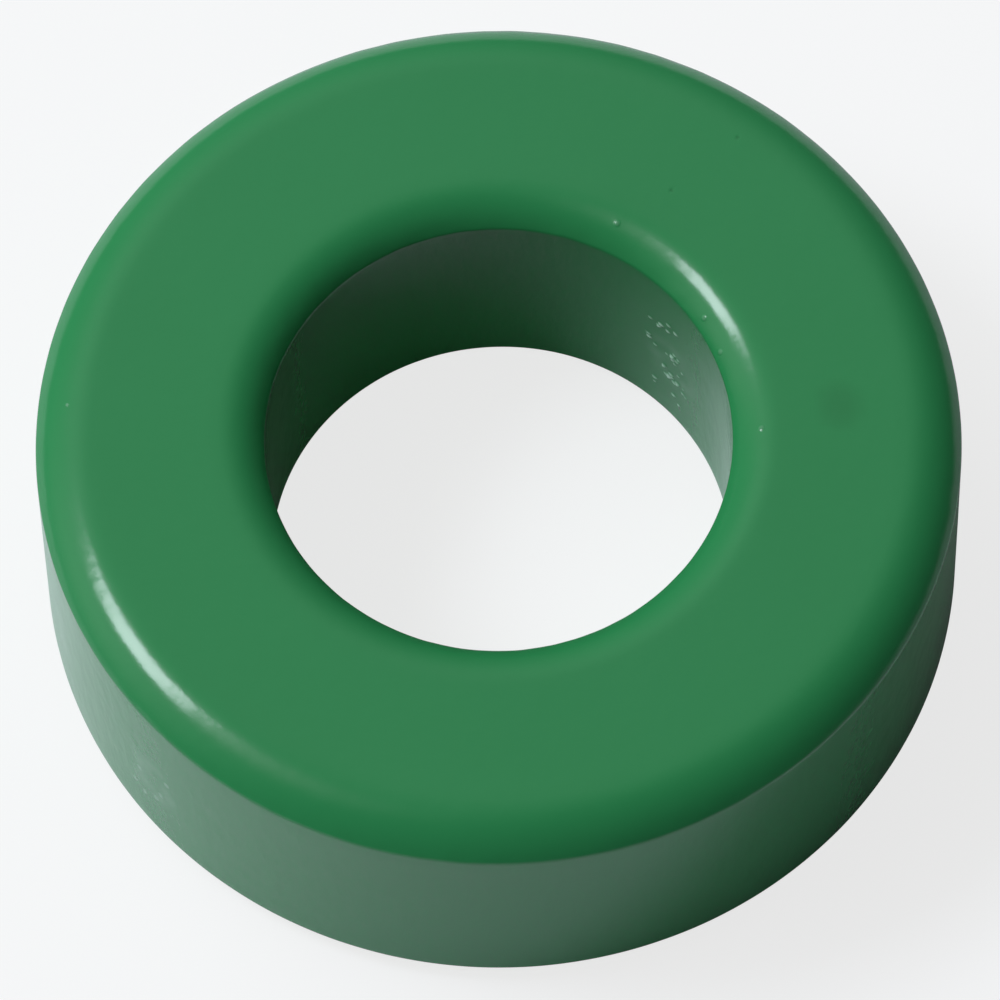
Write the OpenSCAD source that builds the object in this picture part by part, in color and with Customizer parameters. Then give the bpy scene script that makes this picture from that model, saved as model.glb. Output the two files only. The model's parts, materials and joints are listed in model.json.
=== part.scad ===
// Ferrite ring core: a short, thick-walled cylinder of pressed and fired ferrite in a bonded green coat.
// It is one solid. Both end faces are alike: flat, with a broad rounding towards the rim and another
// towards the bore. Each rounding ends in a soft crease where it meets the straight wall.
// The origin is on the ring's axis, at the end face that it rests on. +Z runs along the bore.

/* [Ring] */
// Outside diameter of the ring
outer_d = 38; // [34:0.5:50]
// Diameter of the bore
bore_d = 19.2; // [14:0.1:20]
// Height of the ring, from end face to end face
height = 13; // [8:0.5:20]

/* [Rim rounding] */
// Radius of the rounding between an end face and the outer wall
rim_round_r = 2.8; // [2.4:0.1:4]
// How far that rounding reaches in from the outer wall
rim_round_w = 2.3; // [1.5:0.1:2.3]

/* [Bore rounding] */
// Radius of the rounding between an end face and the bore
bore_round_r = 2.3; // [2:0.1:4]
// How far that rounding reaches out from the bore
bore_round_w = 1.9; // [1.2:0.1:1.9]

/* [Coat] */
// Radius of the crease where a rounding meets its wall
crease_r = 0.3; // [0.1:0.05:0.5]

/* [Hidden] */
$fn = 240;
coat_green = [0.20, 0.50, 0.31];
over = 1; // how far a cutting shape stands clear of the ring it trims
rim_r = outer_d / 2;
bore_r = bore_d / 2;
wall = rim_r - bore_r;

// A corner of the section is worked out in its own frame. x runs outward and is 0 on the wall, and y is
// 0 on the end face. Its rounding has radius r, reaches w in from the wall and leaves the face level.
function round_centre(r, w) = [-w, -r];
// Centre of the small crease arc, which touches the rounding and the wall from inside
function crease_centre(r, w) =
    let (reach = r - crease_r, side = w - crease_r)
    [-crease_r, sqrt(reach * reach - side * side) - r];
// Point where the rounding runs into the crease
function crease_start(r, w) =
    let (c = round_centre(r, w), along = crease_centre(r, w) - c)
    c + along * r / norm(along);

// What is trimmed off one corner: all that lies outside the rounding, then outside the crease
module corner_waste(r, w) {
    difference() {
        translate(round_centre(r, w)) square([w + over, r + over]);
        translate(round_centre(r, w)) circle(r);
    }
    start = crease_start(r, w);
    centre = crease_centre(r, w);
    difference() {
        polygon([start, [start[0], over], [over, over], [over, centre[1]], [0, centre[1]]]);
        translate(centre) circle(crease_r);
    }
}
// The ring's section, centred on the middle of its own wall
module section() {
    difference() {
        square([wall, height], center = true);
        for (face = [0, 1]) mirror([0, face]) {
            translate([wall / 2, height / 2]) corner_waste(rim_round_r, rim_round_w);
            mirror([1, 0]) translate([wall / 2, height / 2]) corner_waste(bore_round_r, bore_round_w);
        }
    }
}
module ring_core() {
    color(coat_green)
        rotate_extrude()
            translate([bore_r + wall / 2, height / 2]) section();
}
ring_core();
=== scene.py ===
"""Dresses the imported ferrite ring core: a ring in a glossy green coat, on a pale floor in soft studio light.

The ring's radii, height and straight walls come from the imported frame. Sizes in metres, angles in radians.
"""

import json
import math
import random

import bmesh
import bpy
from bpy.props import FloatProperty, FloatVectorProperty, IntProperty, PointerProperty
from mathutils import Matrix, Quaternion, Vector, noise


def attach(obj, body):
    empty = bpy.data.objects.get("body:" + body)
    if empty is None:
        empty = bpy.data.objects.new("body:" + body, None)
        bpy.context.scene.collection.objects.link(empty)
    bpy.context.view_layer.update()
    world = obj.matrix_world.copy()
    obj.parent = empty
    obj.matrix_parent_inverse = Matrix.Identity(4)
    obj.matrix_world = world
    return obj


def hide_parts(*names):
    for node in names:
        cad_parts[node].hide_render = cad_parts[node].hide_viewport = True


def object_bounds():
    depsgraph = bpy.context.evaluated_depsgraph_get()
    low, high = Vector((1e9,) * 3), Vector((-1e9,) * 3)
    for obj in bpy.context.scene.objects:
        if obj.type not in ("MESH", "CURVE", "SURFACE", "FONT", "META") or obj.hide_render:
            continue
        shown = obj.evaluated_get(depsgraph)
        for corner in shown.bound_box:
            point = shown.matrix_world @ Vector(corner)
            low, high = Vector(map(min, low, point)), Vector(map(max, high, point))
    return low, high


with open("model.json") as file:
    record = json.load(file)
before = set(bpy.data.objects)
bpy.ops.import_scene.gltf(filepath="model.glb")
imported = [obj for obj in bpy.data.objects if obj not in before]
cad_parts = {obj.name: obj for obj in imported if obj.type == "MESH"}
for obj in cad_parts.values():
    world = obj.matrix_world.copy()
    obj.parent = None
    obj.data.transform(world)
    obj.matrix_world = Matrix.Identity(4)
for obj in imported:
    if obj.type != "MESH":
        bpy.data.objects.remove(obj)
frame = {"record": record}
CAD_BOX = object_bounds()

bl_info = {
    "name": "Coated ferrite ring core",
    "version": (1, 0, 0),
    "blender": (4, 5, 0),
    "location": "View3D > Sidebar > Ring core",
    "description": "Shapes a coated ring core around its packed frame and lights it on a pale floor",
    "category": "Add Mesh",
}

MM = 0.001
MOUNTS = {mount["name"]: mount for mount in frame["record"]["mounts"]}
RING_NODE = "ring_core"
HEIGHT = CAD_BOX[1].z
RIM_RADIUS = MOUNTS["rim"]["dims"]["r_mm"] * MM
RIM_WALL = MOUNTS["rim"]["dims"]["length_mm"] * MM
BORE_RADIUS = MOUNTS["wire_bore"]["dims"]["r_mm"] * MM
BORE_WALL = MOUNTS["wire_bore"]["dims"]["length_mm"] * MM

# Where the mesh's first column stands, clear of every mark, and the least step between two columns
SEAM = math.radians(-100)
SAME = 1e-6

# The stretches of the ring's section that carry marks, by number
OUTER_WALL_STRETCH = 3
RIM_STRETCH = 5
TOP_FACE_STRETCH = 6
BORE_LIP_STRETCH = 7
BORE_WALL_STRETCH = 9

# Places of the marks: degrees round the ring from +X, then millimetres of height or of radius, or
# on the lip and the rim a share of the rounding. Each cluster of beads also has a count
BEAD_CLUSTERS = (
    (46.5, 8.7, 4), (40.0, 8.9, 3), (46.2, 6.6, 3), (40.2, 6.7, 7), (38.0, 6.0, 3), (43.6, 4.7, 5),
    (39.2, 4.9, 5), (47.6, 2.9, 2), (37.2, 4.3, 3), (37.6, 3.0, 2), (34.0, 3.8, 1))
LIP_BLISTERS = ((61.2, 0.42), (30.5, 0.79), (21.0, 0.86), (-1.4, 0.35))
TOP_PITS = ((52.0, 16.6), (55.3, 13.0))
TOP_SMUDGE = (2.6, 14.0)
RIM_FLECK = (174.8, 0.6)
SCUFF_AT = (220.0, 5.8)
SCUFF_SPOTS = ((221.5, 5.1), (218.2, 3.7), (217.5, 5.7), (222.8, 6.8), (216.4, 4.0), (220.6, 4.4))

# What each kind of mark is like
BEAD = {"half_length": 0.14 * MM, "half_width": 0.075 * MM, "lift": 0.05 * MM}
BLISTER = {"half_length": 0.13 * MM, "half_width": 0.13 * MM, "lift": 0.025 * MM, "pale": 0.08}
FLECK = {"half_length": 0.09 * MM, "half_width": 0.07 * MM, "lift": 0.015 * MM, "pale": 0.2}
SCUFF_SPOT = {"half_length": 0.18 * MM, "half_width": 0.3 * MM, "lift": 0.004 * MM, "pale": 0.25}
# A pit is a dent, and its shade is painted shade in it
PIT = {"half_length": 0.11 * MM, "half_width": 0.09 * MM, "lift": -0.015 * MM, "shade": 0.4}
SMUDGE = {"half_length": 1.3 * MM, "half_width": 1.1 * MM, "shade": 0.2}

# How much the beads differ from one another, and the seed of their chance. A bead's pale colour
# is a painted glint: it stands in for the light that the bead catches
BEAD_SCALES = (0.7, 1.25)
BEAD_PAINTED_GLINT = (0.5, 1)
BEAD_SEED = 4

# The scuff is a ring of rubbed coat: its radius and half its width, its reach, how much it is drawn
# up, how pale it is, and the size, evenness and contrast of its blotches
SCUFF_RADIUS = 0.95 * MM
SCUFF_BAND = 0.5 * MM
SCUFF_REACH = 2.5 * MM
SCUFF_RISE = 0.8
SCUFF_PALENESS = 0.1
BLOTCH_SIZE = 0.9 * MM
BLOTCH_LEVEL = 0.6
BLOTCH_CONTRAST = 1.2

# How far the finer mesh reaches past the marks, as a turn and a share of a stretch, and the cuts
# that it makes in each cell, round the ring and along the section
BEAD_MARGIN = (math.radians(1), 0.03)
SCUFF_MARGIN = (math.radians(6), 0.24)
BEAD_CUTS = (3, 14)
SCUFF_CUTS = (1, 1)
FAULT_CUTS = (5, 5)

# A crease's wander has a finer one added, so many times as fine and so many times as strong
FINER = 2.3
FINER_STRENGTH = 0.5

# Coat that faces up or down by more than the first number isn't wall. The second says how sharply
# the foot ends where the coat turns up from the floor
WALL_LIMIT = 0.6
FOOT_SHARPNESS = 8

SENSOR_WIDTH = 36
NEAREST_SEEN = 0.01
FURTHEST_SEEN = 20
FLOOR_REACH = 2.0


# ---------------------------------------------------------------- sizes and colours


class RingSizes(bpy.types.PropertyGroup):
    """How the ring's edges are rounded and how finely it is meshed."""

    rim_round: FloatProperty(
        name="Rim rounding", description="Radius between an end face and the outer wall",
        default=2.8 * MM, unit="LENGTH")
    rim_reach: FloatProperty(
        name="Rim reach", description="How far the rim rounding reaches in from the wall",
        default=2.3 * MM, unit="LENGTH")
    bore_round: FloatProperty(
        name="Bore rounding", description="Radius between an end face and the bore",
        default=2.3 * MM, unit="LENGTH")
    bore_reach: FloatProperty(
        name="Bore reach", description="How far the bore rounding reaches out from the bore",
        default=1.9 * MM, unit="LENGTH")
    crease: FloatProperty(
        name="Crease", description="Radius of the soft crease at each wall",
        default=0.3 * MM, unit="LENGTH")
    turns: IntProperty(
        name="Steps round", description="Mesh steps round the ring", default=440, min=48)
    row_gap: FloatProperty(
        name="Row gap", description="Widest row of the mesh", default=0.5 * MM, unit="LENGTH")
    row_turn: FloatProperty(
        name="Row turn", description="Most that one row of the mesh turns",
        default=math.radians(7.5), subtype="ANGLE")


class CoatSurface(bpy.types.PropertyGroup):
    """How far the coat strays from the true form."""

    peel: FloatProperty(
        name="Orange peel", description="Height of the coat's fine ripple",
        default=0.003 * MM, unit="LENGTH", precision=6)
    peel_size: FloatProperty(
        name="Peel size", description="Width of one ripple", default=1.5 * MM, unit="LENGTH")
    sag: FloatProperty(
        name="Sag", description="Height of the slow waves in the coat",
        default=0.004 * MM, unit="LENGTH", precision=6)
    sag_size: FloatProperty(
        name="Sag size", description="Width of one slow wave", default=4.5 * MM, unit="LENGTH")
    edge_wander: FloatProperty(
        name="Edge wander", description="How far a crease line wanders up and down",
        default=0.03 * MM, unit="LENGTH", precision=6)
    wander_reach: FloatProperty(
        name="Wander reach", description="How far from a crease its wander carries the coat along",
        default=0.6 * MM, unit="LENGTH")
    wander_size: FloatProperty(
        name="Wander size", description="Width of one wander of a crease line",
        default=1.1 * MM, unit="LENGTH")
    foot: FloatProperty(
        name="Foot", description="How far the coat under the ring presses into the floor",
        default=0.01 * MM, unit="LENGTH", precision=6)
    scuff: FloatProperty(
        name="Scuff", description="Height of the scuffed patch",
        default=0.003 * MM, unit="LENGTH", precision=6)
    bead_spread: FloatProperty(
        name="Bead spread", description="How far the beads of a cluster lie from its middle",
        default=0.42 * MM, unit="LENGTH", precision=5)


class CoatFinish(bpy.types.PropertyGroup):
    """Colours and gloss of the coat."""

    green: FloatVectorProperty(
        name="Green", description="Colour of the coat", subtype="COLOR",
        default=(0.030, 0.266, 0.088), min=0, max=1)
    deep_green: FloatVectorProperty(
        name="Deep green", description="Colour where the coat is thick", subtype="COLOR",
        default=(0.027, 0.252, 0.081), min=0, max=1)
    # Dark green is painted shade in the pits, and the darker tone of the smudge on top
    dark_green: FloatVectorProperty(
        name="Dark green", description="Colour in a pit or a smudge", subtype="COLOR",
        default=(0.008, 0.090, 0.024), min=0, max=1)
    # Pale green is a painted glint on the bore's beads, and the pale of the blisters, the fleck and the rubbed
    # scuff
    pale_green: FloatVectorProperty(
        name="Pale green", description="Colour of a bead or a scuffed grain", subtype="COLOR",
        default=(0.70, 0.90, 0.80), min=0, max=1)
    roughness: FloatProperty(
        name="Roughness", description="Roughness of the coat on top", default=0.17, min=0, max=1)
    wall_roughness: FloatProperty(
        name="Wall roughness", description="Roughness of the coat on the walls", default=0.16,
        min=0, max=1)
    grain: FloatProperty(
        name="Grain", description="Height of the finest grain of the coat",
        default=0.022 * MM, unit="LENGTH", precision=6)
    grain_size: FloatProperty(
        name="Grain size", description="Width of one grain", default=0.55 * MM, unit="LENGTH",
        precision=5)
    grain_squeeze: FloatProperty(
        name="Grain squeeze", description="Width of a grain over its height", default=0.45, min=0)
    top_grain: FloatProperty(
        name="Grain on top", description="Share of the grain's height that the top has", default=0.4,
        min=0, max=1)
    cloud_size: FloatProperty(
        name="Cloud size", description="Width of one cloud of deeper green", default=7 * MM,
        unit="LENGTH")
    cloud_share: FloatProperty(
        name="Cloud share", description="How much of the deeper green is clouds, the rest being grain",
        default=0.75, min=0, max=1)
    dulling_size: FloatProperty(
        name="Dulling size", description="Width of one duller patch", default=1.5 * MM, unit="LENGTH")
    dulling: FloatProperty(
        name="Dulling", description="How far the roughness strays from patch to patch", default=0.06)
    pale_dulling: FloatProperty(
        name="Pale dulling", description="Roughness that a pale mark adds", default=0.1)
    index: FloatProperty(
        name="Index", description="Refractive index of the coat", default=1.5, min=1)


class StageSetting(bpy.types.PropertyGroup):
    """Floor, lights and camera."""

    camera_aim: FloatVectorProperty(
        name="Camera aim", description="Point that the camera looks at", subtype="XYZ",
        default=(0, -0.19 * MM, HEIGHT / 2), unit="LENGTH", precision=5)
    camera_distance: FloatProperty(
        name="Camera distance", description="From the aimed point to the camera",
        default=0.4607, unit="LENGTH")
    camera_elevation: FloatProperty(
        name="Camera elevation", description="Height of the camera above the floor",
        default=math.radians(64.44), subtype="ANGLE")
    camera_roll: FloatProperty(
        name="Camera roll", description="Turn of the camera about its line of sight",
        default=math.radians(-1.42), subtype="ANGLE")
    camera_lens: FloatProperty(
        name="Lens", description="Focal length in millimetres on a 36 mm sensor", default=400.16)
    key_azimuth: FloatProperty(
        name="Key direction", description="Where the main light stands, from +X towards +Y",
        default=math.radians(173), subtype="ANGLE")
    key_elevation: FloatProperty(
        name="Key elevation", description="Height of the main light above the floor",
        default=math.radians(55), subtype="ANGLE")
    key_roll: FloatProperty(
        name="Key roll", description="Turn of the main light about the way it shines",
        default=math.radians(36), subtype="ANGLE")
    light_distance: FloatProperty(
        name="Light distance", description="From the ring to each light",
        default=0.7, unit="LENGTH")
    key_size: FloatVectorProperty(
        name="Key size", description="Width and height of the main light", size=2,
        default=(0.177, 0.234), unit="LENGTH")
    key_power: FloatProperty(
        name="Key power", description="Power of the main light in watts", default=1.64)
    key_wash_power: FloatProperty(
        name="Key wash power", description="Power of the wide panel at the main light in watts",
        default=0.45)
    key_colour: FloatVectorProperty(
        name="Key colour", description="Colour of the main light", subtype="COLOR",
        default=(0.92, 1.0, 1.07))
    wash_azimuth: FloatProperty(
        name="Wash direction", description="Where the wide panel stands",
        default=math.radians(143), subtype="ANGLE")
    wash_elevation: FloatProperty(
        name="Wash elevation", description="Height of the wide panel above the floor",
        default=math.radians(49), subtype="ANGLE")
    wash_size: FloatVectorProperty(
        name="Wash size", description="Width and height of the wide panel",
        size=2, default=(0.5, 0.3), unit="LENGTH")
    wash_power: FloatProperty(
        name="Wash power", description="Power of the wide panel in watts", default=1.55)
    wash_colour: FloatVectorProperty(
        name="Wash colour", description="Colour of the wide panel", subtype="COLOR",
        default=(1.0, 1.0, 1.0))
    back_azimuth: FloatProperty(
        name="Back direction", description="Middle of the light behind the ring",
        default=math.radians(105), subtype="ANGLE")
    back_elevation: FloatProperty(
        name="Back elevation", description="Height of the light behind the ring",
        default=math.radians(50), subtype="ANGLE")
    back_glow: FloatProperty(
        name="Back glow", description="Brightness of the glow behind the ring", default=0.5)
    back_tightness: FloatProperty(
        name="Back tightness", description="How narrow the glow behind the ring is", default=6)
    side_azimuth: FloatProperty(
        name="Side direction", description="Middle of the low glow beside the ring",
        default=math.radians(178), subtype="ANGLE")
    side_elevation: FloatProperty(
        name="Side elevation", description="Height of the glow beside the ring",
        default=math.radians(28), subtype="ANGLE")
    side_glow: FloatProperty(
        name="Side glow", description="Brightness of the low glow beside the ring", default=0.8)
    side_tightness: FloatProperty(
        name="Side tightness", description="How narrow the low glow beside the ring is", default=12)
    halo_azimuth: FloatProperty(
        name="Halo direction", description="Middle of the glow beside the main light",
        default=math.radians(187), subtype="ANGLE")
    halo_elevation: FloatProperty(
        name="Halo elevation", description="Height of the glow beside the main light",
        default=math.radians(62), subtype="ANGLE")
    halo_glow: FloatProperty(
        name="Halo", description="Brightness of the glow beside the main light", default=1.0)
    halo_tightness: FloatProperty(
        name="Halo tightness", description="How narrow the glow beside the main light is", default=35)
    under_glow: FloatProperty(
        name="Light from below", description="Strength of the room's light from under the floor",
        default=0.5)
    fill: FloatProperty(
        name="Fill", description="Brightness of the rest of the room", default=0.015)
    floor_colour: FloatVectorProperty(
        name="Floor colour", description="Colour of the floor", subtype="COLOR",
        default=(0.83, 0.85, 0.88), min=0, max=1)
    lift: FloatProperty(
        name="Lift", description="How far the seen floor is lifted to the backdrop's white",
        default=0.78, min=0, max=1)
    mirrored_lift: FloatProperty(
        name="Mirrored lift", description="The same for the floor and backdrop that the coat mirrors",
        default=0.01, min=0, max=1)


# ---------------------------------------------------------------- shader sums


class Wire:
    """One socket of a shader, used like a number. Each operator adds the Math node it stands for."""

    def __init__(self, tree, socket=None):
        self.tree = tree
        self.socket = socket

    def node(self, kind, settings, sockets, output=0):
        """Adds a node, sets it up, fills its sockets with values or wires and returns one output."""
        node = self.tree.nodes.new(kind)
        for name, value in settings.items():
            setattr(node, name, value)
        for name, value in sockets.items():
            if isinstance(value, Wire):
                self.tree.links.new(value.socket, node.inputs[name])
            else:
                node.inputs[name].default_value = value
        return Wire(self.tree, node.outputs[output]) if node.outputs else None

    def math(self, operation, *values):
        return self.node("ShaderNodeMath", {"operation": operation}, dict(enumerate(values)))

    def __add__(self, other):
        return self.math("ADD", self, other)

    __radd__ = __add__

    def __sub__(self, other):
        return self.math("SUBTRACT", self, other)

    def __rsub__(self, other):
        return self.math("SUBTRACT", other, self)

    def __mul__(self, other):
        return self.math("MULTIPLY", self, other)

    __rmul__ = __mul__


def new_material(name):
    """An empty material and the wire that starts its nodes."""
    material = bpy.data.materials.new(name)
    material.use_nodes = True
    material.node_tree.nodes.clear()
    return material, Wire(material.node_tree)


def blotches(wire, place, size, detail):
    """A soft noise from 0 to 1 whose blotches are about size across."""
    return wire.node(
        "ShaderNodeTexNoise", {}, {"Vector": place, "Scale": 1 / size, "Detail": detail})


def blend_colours(wire, share, first, second):
    """Mixes two colours, where share 0 is the first. The node's sockets for colours have no names of
    their own, so they go by number."""
    return wire.node(
        "ShaderNodeMix", {"data_type": "RGBA"}, {0: share, 6: first, 7: second}, output=2)


# ---------------------------------------------------------------- materials


def green_coat():
    """The ring's glossy coat: a slightly uneven green, duller on the walls, with pale and dark marks.
    The beads' pale is a painted glint, and the pits' dark green is painted shade.
    """
    finish = bpy.context.scene.coat_finish
    material, wire = new_material("green_coat")
    place = wire.node("ShaderNodeTexCoord", {}, {}, output="Object")
    pale, shade, wall = (
        wire.node("ShaderNodeAttribute", {"attribute_name": name}, {}, output="Fac")
        for name in ("pale", "shade", "wall"))
    cloud = blotches(wire, place, finish.cloud_size, detail=3)
    drawn_up = wire.node(
        "ShaderNodeVectorMath", {"operation": "MULTIPLY"},
        {0: place, 1: (1, 1, finish.grain_squeeze)})
    grain = blotches(wire, drawn_up, finish.grain_size, detail=4)
    depth = cloud * finish.cloud_share + grain * (1 - finish.cloud_share)
    colour = blend_colours(wire, depth, (*finish.green, 1), (*finish.deep_green, 1))
    # shade is painted shade in the pits and the smudge's darker tone; pale is a painted glint on the beads and
    # the pale of the blisters, fleck and scuff
    colour = blend_colours(wire, shade, colour, (*finish.dark_green, 1))
    colour = blend_colours(wire, pale, colour, (*finish.pale_green, 1))
    patch = blotches(wire, place, finish.dulling_size, detail=2) - 0.5
    roughness = (
        finish.roughness + wall * (finish.wall_roughness - finish.roughness)
        + patch * finish.dulling + pale * finish.pale_dulling)
    height = grain * (wall * (1 - finish.top_grain) + finish.top_grain)
    ripple = wire.node(
        "ShaderNodeBump", {}, {"Height": height, "Distance": finish.grain, "Strength": 1.0})
    shader = wire.node(
        "ShaderNodeBsdfPrincipled", {},
        {"Base Color": colour, "Roughness": roughness, "IOR": finish.index, "Normal": ripple})
    wire.node("ShaderNodeOutputMaterial", {}, {"Surface": shader})
    return material


def backdrop_share(wire, seen, mirrored):
    """How far a ray meets the plain white backdrop, by whether it is seen, through glass, or mirrored."""
    def ray(name):
        return wire.node("ShaderNodeLightPath", {}, {}, output=name)
    return (ray("Is Camera Ray") + ray("Is Transmission Ray")) * seen + ray("Is Glossy Ray") * mirrored


def pale_floor():
    """A near-white floor, lifted towards the backdrop's white. From below it is clear."""
    setting = bpy.context.scene.stage_setting
    material, wire = new_material("pale_floor")
    paint = wire.node("ShaderNodeBsdfDiffuse", {}, {"Color": (*setting.floor_colour, 1)})
    white = wire.node("ShaderNodeEmission", {}, {"Color": (1, 1, 1, 1), "Strength": 1.0})
    share = backdrop_share(wire, setting.lift, setting.mirrored_lift)
    top = wire.node("ShaderNodeMixShader", {}, {0: share, 1: paint, 2: white})
    clear = wire.node("ShaderNodeBsdfTransparent", {}, {})
    below = wire.node("ShaderNodeNewGeometry", {}, {}, output="Backfacing")
    mixed = wire.node("ShaderNodeMixShader", {}, {0: below, 1: top, 2: clear})
    wire.node("ShaderNodeOutputMaterial", {}, {"Surface": mixed})
    return material


# ---------------------------------------------------------------- shapes


class Stretch:
    """A stretch of the section. at(share) gives a point on it as four numbers: its distance from the
    axis and its height, then the same two parts of the direction that the surface faces."""

    def __init__(self, length, turn, at):
        self.length = length
        self.turn = turn
        self.at = at

    def steps(self, sizes):
        """How many rows of mesh it takes."""
        return math.ceil(max(self.length / sizes.row_gap, self.turn / sizes.row_turn))


def arc(centre, radius, facing, start, end):
    """An arc of a corner that faces outwards or inwards, and up or down, by the signs in facing."""
    def at(share):
        turn = start + (end - start) * share
        out, up = facing[0] * math.cos(turn), facing[1] * math.sin(turn)
        return centre[0] + radius * out, centre[1] + radius * up, out, up
    return Stretch(radius * (end - start), end - start, at)


def line(start, end):
    """A straight run from the end of one stretch to the start of another."""
    (r, z, out, up), (end_r, end_z) = start, end[:2]

    def at(share):
        return r + (end_r - r) * share, z + (end_z - z) * share, out, up
    return Stretch(math.dist((r, z), (end_r, end_z)), 0, at)


def backwards(stretches):
    """The same stretches, walked from the other end."""
    return [
        Stretch(each.length, each.turn, lambda share, each=each: each.at(1 - share))
        for each in reversed(stretches)]


def corner(wall, face, reach, rounding, crease, facing):
    """The crease and the rounding that lead from a wall to an end face."""
    out, up = facing
    lift = math.sqrt((rounding - crease) ** 2 - (reach - crease) ** 2)
    tilt = math.atan2(lift, reach - crease)
    crease_centre = (wall - out * crease, face + up * (lift - rounding))
    round_centre = (wall - out * reach, face - up * rounding)
    return [
        arc(crease_centre, crease, facing, 0, tilt),
        arc(round_centre, rounding, facing, tilt, math.pi / 2)]


def ring_section(sizes):
    """The closed section: under the ring, up the outer wall, in over the top and down the bore."""
    def rim(face, up):
        return corner(RIM_RADIUS, face, sizes.rim_reach, sizes.rim_round, sizes.crease, (1, up))

    def bore(face, up):
        return corner(BORE_RADIUS, face, sizes.bore_reach, sizes.bore_round, sizes.crease, (-1, up))

    corners = [
        backwards(rim(0, -1)), rim(HEIGHT, 1), backwards(bore(HEIGHT, 1)), bore(0, -1)]
    section = []
    for before, after in zip(corners[-1:] + corners[:-1], corners):
        section += [line(before[-1].at(1), after[0].at(0)), *after]
    return section


def ring_grid(section, sizes):
    """The ring's mesh before it has a shape: every corner carries its place on the ring.

    azimuth is the corner's direction from the axis. place is the number of its stretch of the
    section plus the share of that stretch.
    """
    mesh = bmesh.new()
    azimuth = mesh.verts.layers.float.new("azimuth")
    place = mesh.verts.layers.float.new("place")
    rows = [
        number + step / stretch.steps(sizes)
        for number, stretch in enumerate(section) for step in range(stretch.steps(sizes))]
    columns = []
    for step in range(sizes.turns):
        column = []
        for row in rows:
            vert = mesh.verts.new()
            vert[azimuth] = SEAM + 2 * math.pi * step / sizes.turns
            vert[place] = row
            column.append(vert)
        columns.append(column)
    for near, far in zip(columns, columns[1:] + columns[:1]):
        for a, b, c, d in zip(near, far, far[1:] + far[:1], near[1:] + near[:1]):
            mesh.faces.new((a, b, c, d))
    return mesh


def cut_finer(mesh, window, round_cuts, along_cuts):
    """Cuts the cells in a window finer, round the ring and along the section."""
    azimuths, places = window
    azimuth = mesh.verts.layers.float["azimuth"]
    place = mesh.verts.layers.float["place"]

    def inside(edge):
        return all(
            azimuths[0] <= vert[azimuth] <= azimuths[1] and places[0] <= vert[place] <= places[1]
            for vert in edge.verts)

    def runs(edge, layer):
        near, far = edge.verts
        return abs(near[layer] - far[layer]) > SAME

    for layer, other, cuts in ((place, azimuth, along_cuts), (azimuth, place, round_cuts)):
        edges = [
            edge for edge in mesh.edges
            if inside(edge) and runs(edge, layer) and not runs(edge, other)]
        bmesh.ops.subdivide_edges(mesh, edges=edges, cuts=cuts)


def window_of(marks, turn, share):
    """A window of the grid round some marks' middles, wider by a turn and by a share of a stretch."""
    azimuths = [mark.azimuth for mark in marks]
    places = [mark.place for mark in marks]
    return (min(azimuths) - turn, max(azimuths) + turn), (min(places) - share, max(places) + share)


def window_round(mark, sizes):
    """A window of the grid that holds a mark and the cells that it touches."""
    turn = mark.half_length / mark.centre.xy.length + 2 * math.pi / sizes.turns
    share = (mark.half_width + sizes.row_gap) / mark.stretch_length
    return window_of([mark], turn, share)


class Mark:
    """A small bump, pit or pale patch on the coat, round or drawn out round the ring.

    It starts from degrees round the ring, and place is as ring_grid has it. half_length is half its
    size round the ring and half_width half its size across that. lift is how high it stands, or with
    a minus how deep it goes. pale and shade are how far it turns the coat pale or dark green. On the
    bore's beads the pale is a painted glint, and in a pit the shade is painted shade.
    """

    def __init__(self, azimuth, place, half_length, half_width, lift=0.0, pale=0.0, shade=0.0):
        self.azimuth = math.radians(azimuth)
        self.place = place
        self.half_length = half_length
        self.half_width = half_width
        self.lift = lift
        self.pale = pale
        self.shade = shade

    def settle(self, section):
        """Finds the mark's middle, and the direction round the ring there."""
        self.centre, normal = ring_point(section, self.azimuth, self.place)
        self.along = Vector((-math.sin(self.azimuth), math.cos(self.azimuth), 0))
        self.stretch_length = section[int(self.place)].length
        return self

    def cover(self, point):
        """How strong the mark is at a point, from 1 in its middle to 0 at half_length from there."""
        offset = point - self.centre
        if offset.length_squared > self.half_length ** 2:
            return 0.0
        along = offset.dot(self.along)
        across = offset.length_squared - along * along
        return max(0.0, 1 - (along / self.half_length) ** 2 - across / self.half_width ** 2)


def ring_point(section, azimuth, place):
    """The point of the true form at a place, and the direction that it faces."""
    number = int(place) % len(section)
    r, z, out, up = section[number].at(place % 1)
    away = Vector((math.cos(azimuth), math.sin(azimuth), 0))
    return away * r + Vector((0, 0, z)), away * out + Vector((0, 0, up))


def on_bore(azimuth, height):
    """A place on the bore's wall, from degrees and a height in millimetres."""
    top = HEIGHT / 2 + BORE_WALL / 2
    return azimuth, BORE_WALL_STRETCH + (top - height * MM) / BORE_WALL


def on_outer_wall(azimuth, height):
    """A place on the outer wall, from degrees and a height in millimetres."""
    foot = HEIGHT / 2 - RIM_WALL / 2
    return azimuth, OUTER_WALL_STRETCH + (height * MM - foot) / RIM_WALL


def on_top(azimuth, radius, sizes):
    """A place on the flat top, from degrees and a radius in millimetres."""
    outer = RIM_RADIUS - sizes.rim_reach
    inner = BORE_RADIUS + sizes.bore_reach
    return azimuth, TOP_FACE_STRETCH + (outer - radius * MM) / (outer - inner)


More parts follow.
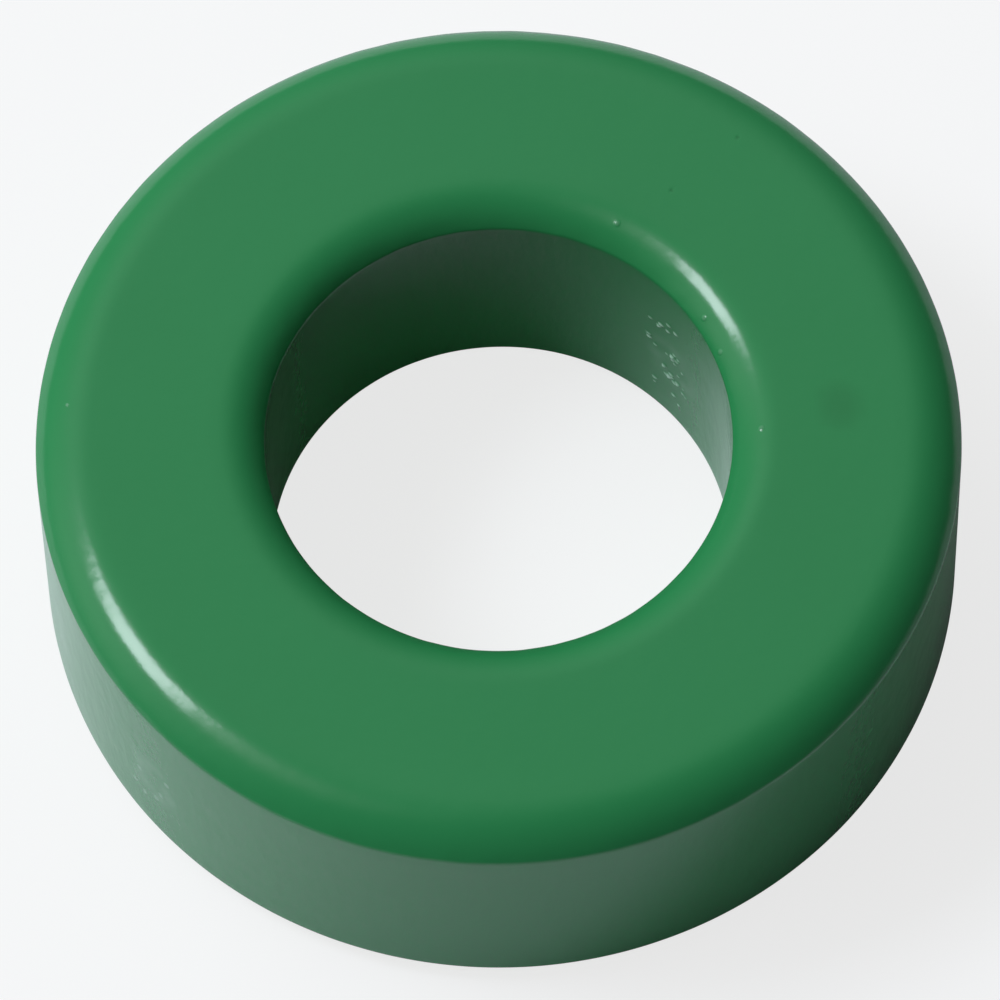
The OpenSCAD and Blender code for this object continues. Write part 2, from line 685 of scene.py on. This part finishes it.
def bore_beads(surface):
    """Tiny beads of dried coat down one side of the bore, in clusters. Their pale colour is a painted glint.
    """
    chance = random.Random(BEAD_SEED)
    turn = math.degrees(surface.bead_spread / BORE_RADIUS)
    beads = []
    for azimuth, height, count in BEAD_CLUSTERS:
        for _ in range(count):
            place = on_bore(
                azimuth + chance.uniform(-turn, turn),
                height + chance.uniform(-1, 1) * surface.bead_spread / MM)
            scale = chance.uniform(*BEAD_SCALES)
            size = {name: value * scale for name, value in BEAD.items()}
            # The bead's pale colour is a painted glint
            beads.append(Mark(*place, **size, pale=chance.uniform(*BEAD_PAINTED_GLINT)))
    return beads


def coat_marks(sizes):
    """The lone faults of the coat: blisters on the bore's lip, a fleck on the rim, scuffs and pits.
    A pit's darker colour is painted shade.
    """
    fleck_azimuth, fleck_share = RIM_FLECK
    return [
        *(Mark(azimuth, BORE_LIP_STRETCH + share, **BLISTER) for azimuth, share in LIP_BLISTERS),
        Mark(fleck_azimuth, RIM_STRETCH + fleck_share, **FLECK),
        *(Mark(*on_outer_wall(*spot), **SCUFF_SPOT) for spot in SCUFF_SPOTS),
        *(Mark(*on_top(*pit, sizes), **PIT) for pit in TOP_PITS)]


def coat_height(point, surface):
    """How far the coat stands off the true form at a point."""
    ripple = noise.noise(point / surface.peel_size) * surface.peel
    return ripple + noise.noise(point / surface.sag_size) * surface.sag


def crease_shift(point, surface):
    """How far up a point near a top crease is carried by the crease line's wander."""
    near = 0.0
    for radius, wall in ((RIM_RADIUS, RIM_WALL), (BORE_RADIUS, BORE_WALL)):
        away = math.hypot(point.xy.length - radius, point.z - (HEIGHT + wall) / 2)
        near += math.exp(-(away / surface.wander_reach) ** 2)
    along = point / surface.wander_size
    wander = noise.noise(along) + FINER_STRENGTH * noise.noise(along * FINER)
    return near * surface.edge_wander * wander


def scuff_cover(point, scuff):
    """How rubbed and pale the scuff is at a point: a blotchy ring round its middle."""
    offset = point - scuff.centre
    away = math.hypot(offset.dot(scuff.along), offset.z * SCUFF_RISE)
    if away > scuff.half_length:
        return 0.0
    blotch = BLOTCH_LEVEL + BLOTCH_CONTRAST * noise.noise(point / BLOTCH_SIZE)
    return math.exp(-((away - SCUFF_RADIUS) / SCUFF_BAND) ** 2) * max(0.0, min(1.0, blotch))


def ring_mesh(sizes, surface):
    """The ring's skin, with the coat's unevenness and marks on it."""
    section = ring_section(sizes)
    mesh = ring_grid(section, sizes)
    beads = bore_beads(surface)
    faults = coat_marks(sizes)
    smudge = Mark(*on_top(*TOP_SMUDGE, sizes), **SMUDGE)
    scuff = Mark(*on_outer_wall(*SCUFF_AT), SCUFF_REACH, SCUFF_REACH).settle(section)
    marks = [mark.settle(section) for mark in (*beads, *faults, smudge)]
    cut_finer(mesh, window_of(beads, *BEAD_MARGIN), *BEAD_CUTS)
    cut_finer(mesh, window_of([scuff], *SCUFF_MARGIN), *SCUFF_CUTS)
    for mark in faults:
        cut_finer(mesh, window_round(mark, sizes), *FAULT_CUTS)
    azimuth = mesh.verts.layers.float["azimuth"]
    place = mesh.verts.layers.float["place"]
    pale = mesh.verts.layers.float.new("pale")
    shade = mesh.verts.layers.float.new("shade")
    wall = mesh.verts.layers.float.new("wall")
    for vert in mesh.verts:
        point, normal = ring_point(section, vert[azimuth], vert[place])
        lift = coat_height(point, surface)
        for mark in marks:
            cover = mark.cover(point)
            if cover:
                dome = math.sqrt(cover)
                lift += mark.lift * dome
                # pale holds the beads' painted glints and the other marks' pale, shade the pits' painted shade
                # and the smudge's darker tone
                vert[pale] = max(vert[pale], mark.pale * dome)
                vert[shade] = max(vert[shade], mark.shade * cover)
        rubbed = scuff_cover(point, scuff)
        lift += rubbed * surface.scuff
        lift += surface.foot * max(0.0, -normal.z) ** FOOT_SHARPNESS
        vert[pale] = max(vert[pale], SCUFF_PALENESS * rubbed)
        vert[wall] = max(0.0, 1 - abs(normal.z) / WALL_LIMIT)
        point.z += crease_shift(point, surface)
        vert.co = point + normal * lift
    for face in mesh.faces:
        face.smooth = True
    return mesh


# ---------------------------------------------------------------- operators


class RING_OT_shape_core(bpy.types.Operator):
    """Shape the coated ring in place of its plain solid."""

    bl_idname = "ring.shape_core"
    bl_label = "Coated ring"

    def execute(self, context):
        scene = context.scene
        shape = ring_mesh(scene.ring_sizes, scene.coat_surface)
        data = bpy.data.meshes.new("coated_ring")
        shape.to_mesh(data)
        shape.free()
        data.materials.append(green_coat())
        ring = bpy.data.objects.new("coated_ring", data)
        scene.collection.objects.link(ring)
        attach(ring, "root")
        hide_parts(RING_NODE)
        return {"FINISHED"}


def heading(azimuth, elevation):
    """The direction of an azimuth and an elevation, one metre long."""
    level = math.cos(elevation)
    return Vector((level * math.cos(azimuth), level * math.sin(azimuth), math.sin(elevation)))


def soft_light(name, away, size, power, colour, mirrored, roll=0.0):
    """A soft panel that faces the ring, out of the camera's sight. It may be kept out of reflections."""
    lamp = bpy.data.lights.new(name, "AREA")
    lamp.shape = "RECTANGLE"
    lamp.size, lamp.size_y = size
    lamp.energy = power
    lamp.color = colour
    light = bpy.data.objects.new(name, lamp)
    light.location = away
    light.rotation_mode = "QUATERNION"
    light.rotation_quaternion = away.to_track_quat("Z", "Y") @ Quaternion((0, 0, 1), roll)
    light.visible_camera = False
    light.visible_glossy = mirrored
    bpy.context.scene.collection.objects.link(light)


def stage_lights(setting):
    """The main light, a wide panel in the same place and another behind the ring."""
    key = heading(setting.key_azimuth, setting.key_elevation) * setting.light_distance
    wash = heading(setting.wash_azimuth, setting.wash_elevation) * setting.light_distance
    soft_light(
        "key", key, setting.key_size, setting.key_power, setting.key_colour, True, setting.key_roll)
    soft_light("key_wash", key, setting.wash_size, setting.key_wash_power, setting.key_colour, False)
    soft_light("wash", wash, setting.wash_size, setting.wash_power, setting.wash_colour, False)


def stage_camera(setting):
    """The camera, which looks at the ring's middle."""
    data = bpy.data.cameras.new("camera")
    data.sensor_width = SENSOR_WIDTH
    data.lens = setting.camera_lens
    data.clip_start = NEAREST_SEEN
    data.clip_end = FURTHEST_SEEN
    camera = bpy.data.objects.new("camera", data)
    lift = setting.camera_elevation
    back = Vector((0, -math.cos(lift), math.sin(lift)))
    sideways = Vector((1, 0, 0))
    level = Matrix((sideways, back.cross(sideways), back)).transposed().to_4x4()
    place = Vector(setting.camera_aim) + setting.camera_distance * back
    camera.matrix_world = (
        Matrix.Translation(place) @ level @ Matrix.Rotation(setting.camera_roll, 4, "Z"))
    bpy.context.scene.collection.objects.link(camera)
    bpy.context.scene.camera = camera


def glow(direction, azimuth, elevation, strength, tightness):
    """A soft glow of the room round one direction."""
    facing = direction.node(
        "ShaderNodeVectorMath", {"operation": "DOT_PRODUCT"},
        {0: direction, 1: heading(azimuth, elevation)}, output="Value")
    return facing.math("POWER", facing.math("MAXIMUM", facing, 0), tightness) * strength


def room(setting):
    """The room's dim light, stronger behind and beside the ring and from under the floor, where only
    the ring's foot catches it. The camera sees the room as white."""
    world = bpy.data.worlds.new("room")
    world.use_nodes = True
    world.node_tree.nodes.clear()
    wire = Wire(world.node_tree)
    direction = wire.node("ShaderNodeTexCoord", {}, {}, output="Generated")
    light = glow(direction, azimuth=0, elevation=-math.pi / 2, strength=setting.under_glow, tightness=1)
    for name in ("back", "side", "halo"):
        light += glow(direction, *(
            getattr(setting, f"{name}_{part}") for part in ("azimuth", "elevation", "glow", "tightness")))
    light += setting.fill
    share = backdrop_share(wire, 1, setting.mirrored_lift)
    strength = light * (1 - share) + share
    shader = wire.node("ShaderNodeBackground", {}, {"Color": (1, 1, 1, 1), "Strength": strength})
    wire.node("ShaderNodeOutputWorld", {}, {"Surface": shader})
    bpy.context.scene.world = world


class RING_OT_set_stage(bpy.types.Operator):
    """Lay the floor, light the ring and set the camera."""

    bl_idname = "ring.set_stage"
    bl_label = "Stage"

    def execute(self, context):
        setting = context.scene.stage_setting
        mesh = bmesh.new()
        bmesh.ops.create_grid(mesh, x_segments=1, y_segments=1, size=FLOOR_REACH)
        data = bpy.data.meshes.new("floor")
        mesh.to_mesh(data)
        mesh.free()
        data.materials.append(pale_floor())
        floor = bpy.data.objects.new("floor", data)
        context.scene.collection.objects.link(floor)
        stage_lights(setting)
        room(setting)
        stage_camera(setting)
        context.scene.view_settings.view_transform = "Standard"
        return {"FINISHED"}


class RING_PT_workshop(bpy.types.Panel):
    """The steps that build the ring and its stage."""

    bl_label = "Ring core"
    bl_space_type = "VIEW_3D"
    bl_region_type = "UI"
    bl_category = "Ring core"

    def draw(self, context):
        scene = context.scene
        for step, groups in (
                (RING_OT_shape_core, (scene.ring_sizes, scene.coat_surface, scene.coat_finish)),
                (RING_OT_set_stage, (scene.stage_setting,))):
            box = self.layout.box()
            box.operator(step.bl_idname)
            for group in groups:
                for name in group.__annotations__:
                    box.prop(group, name)


CLASSES = (
    RingSizes, CoatSurface, CoatFinish, StageSetting,
    RING_OT_shape_core, RING_OT_set_stage, RING_PT_workshop)
GROUPS = {
    "ring_sizes": RingSizes, "coat_surface": CoatSurface, "coat_finish": CoatFinish,
    "stage_setting": StageSetting}


def register():
    for item in CLASSES:
        bpy.utils.register_class(item)
    for name, group in GROUPS.items():
        setattr(bpy.types.Scene, name, PointerProperty(type=group))


def unregister():
    for name in GROUPS:
        delattr(bpy.types.Scene, name)
    for item in reversed(CLASSES):
        bpy.utils.unregister_class(item)


def main():
    register()
    bpy.ops.ring.shape_core()
    bpy.ops.ring.set_stage()


if __name__ == "__main__":
    main()
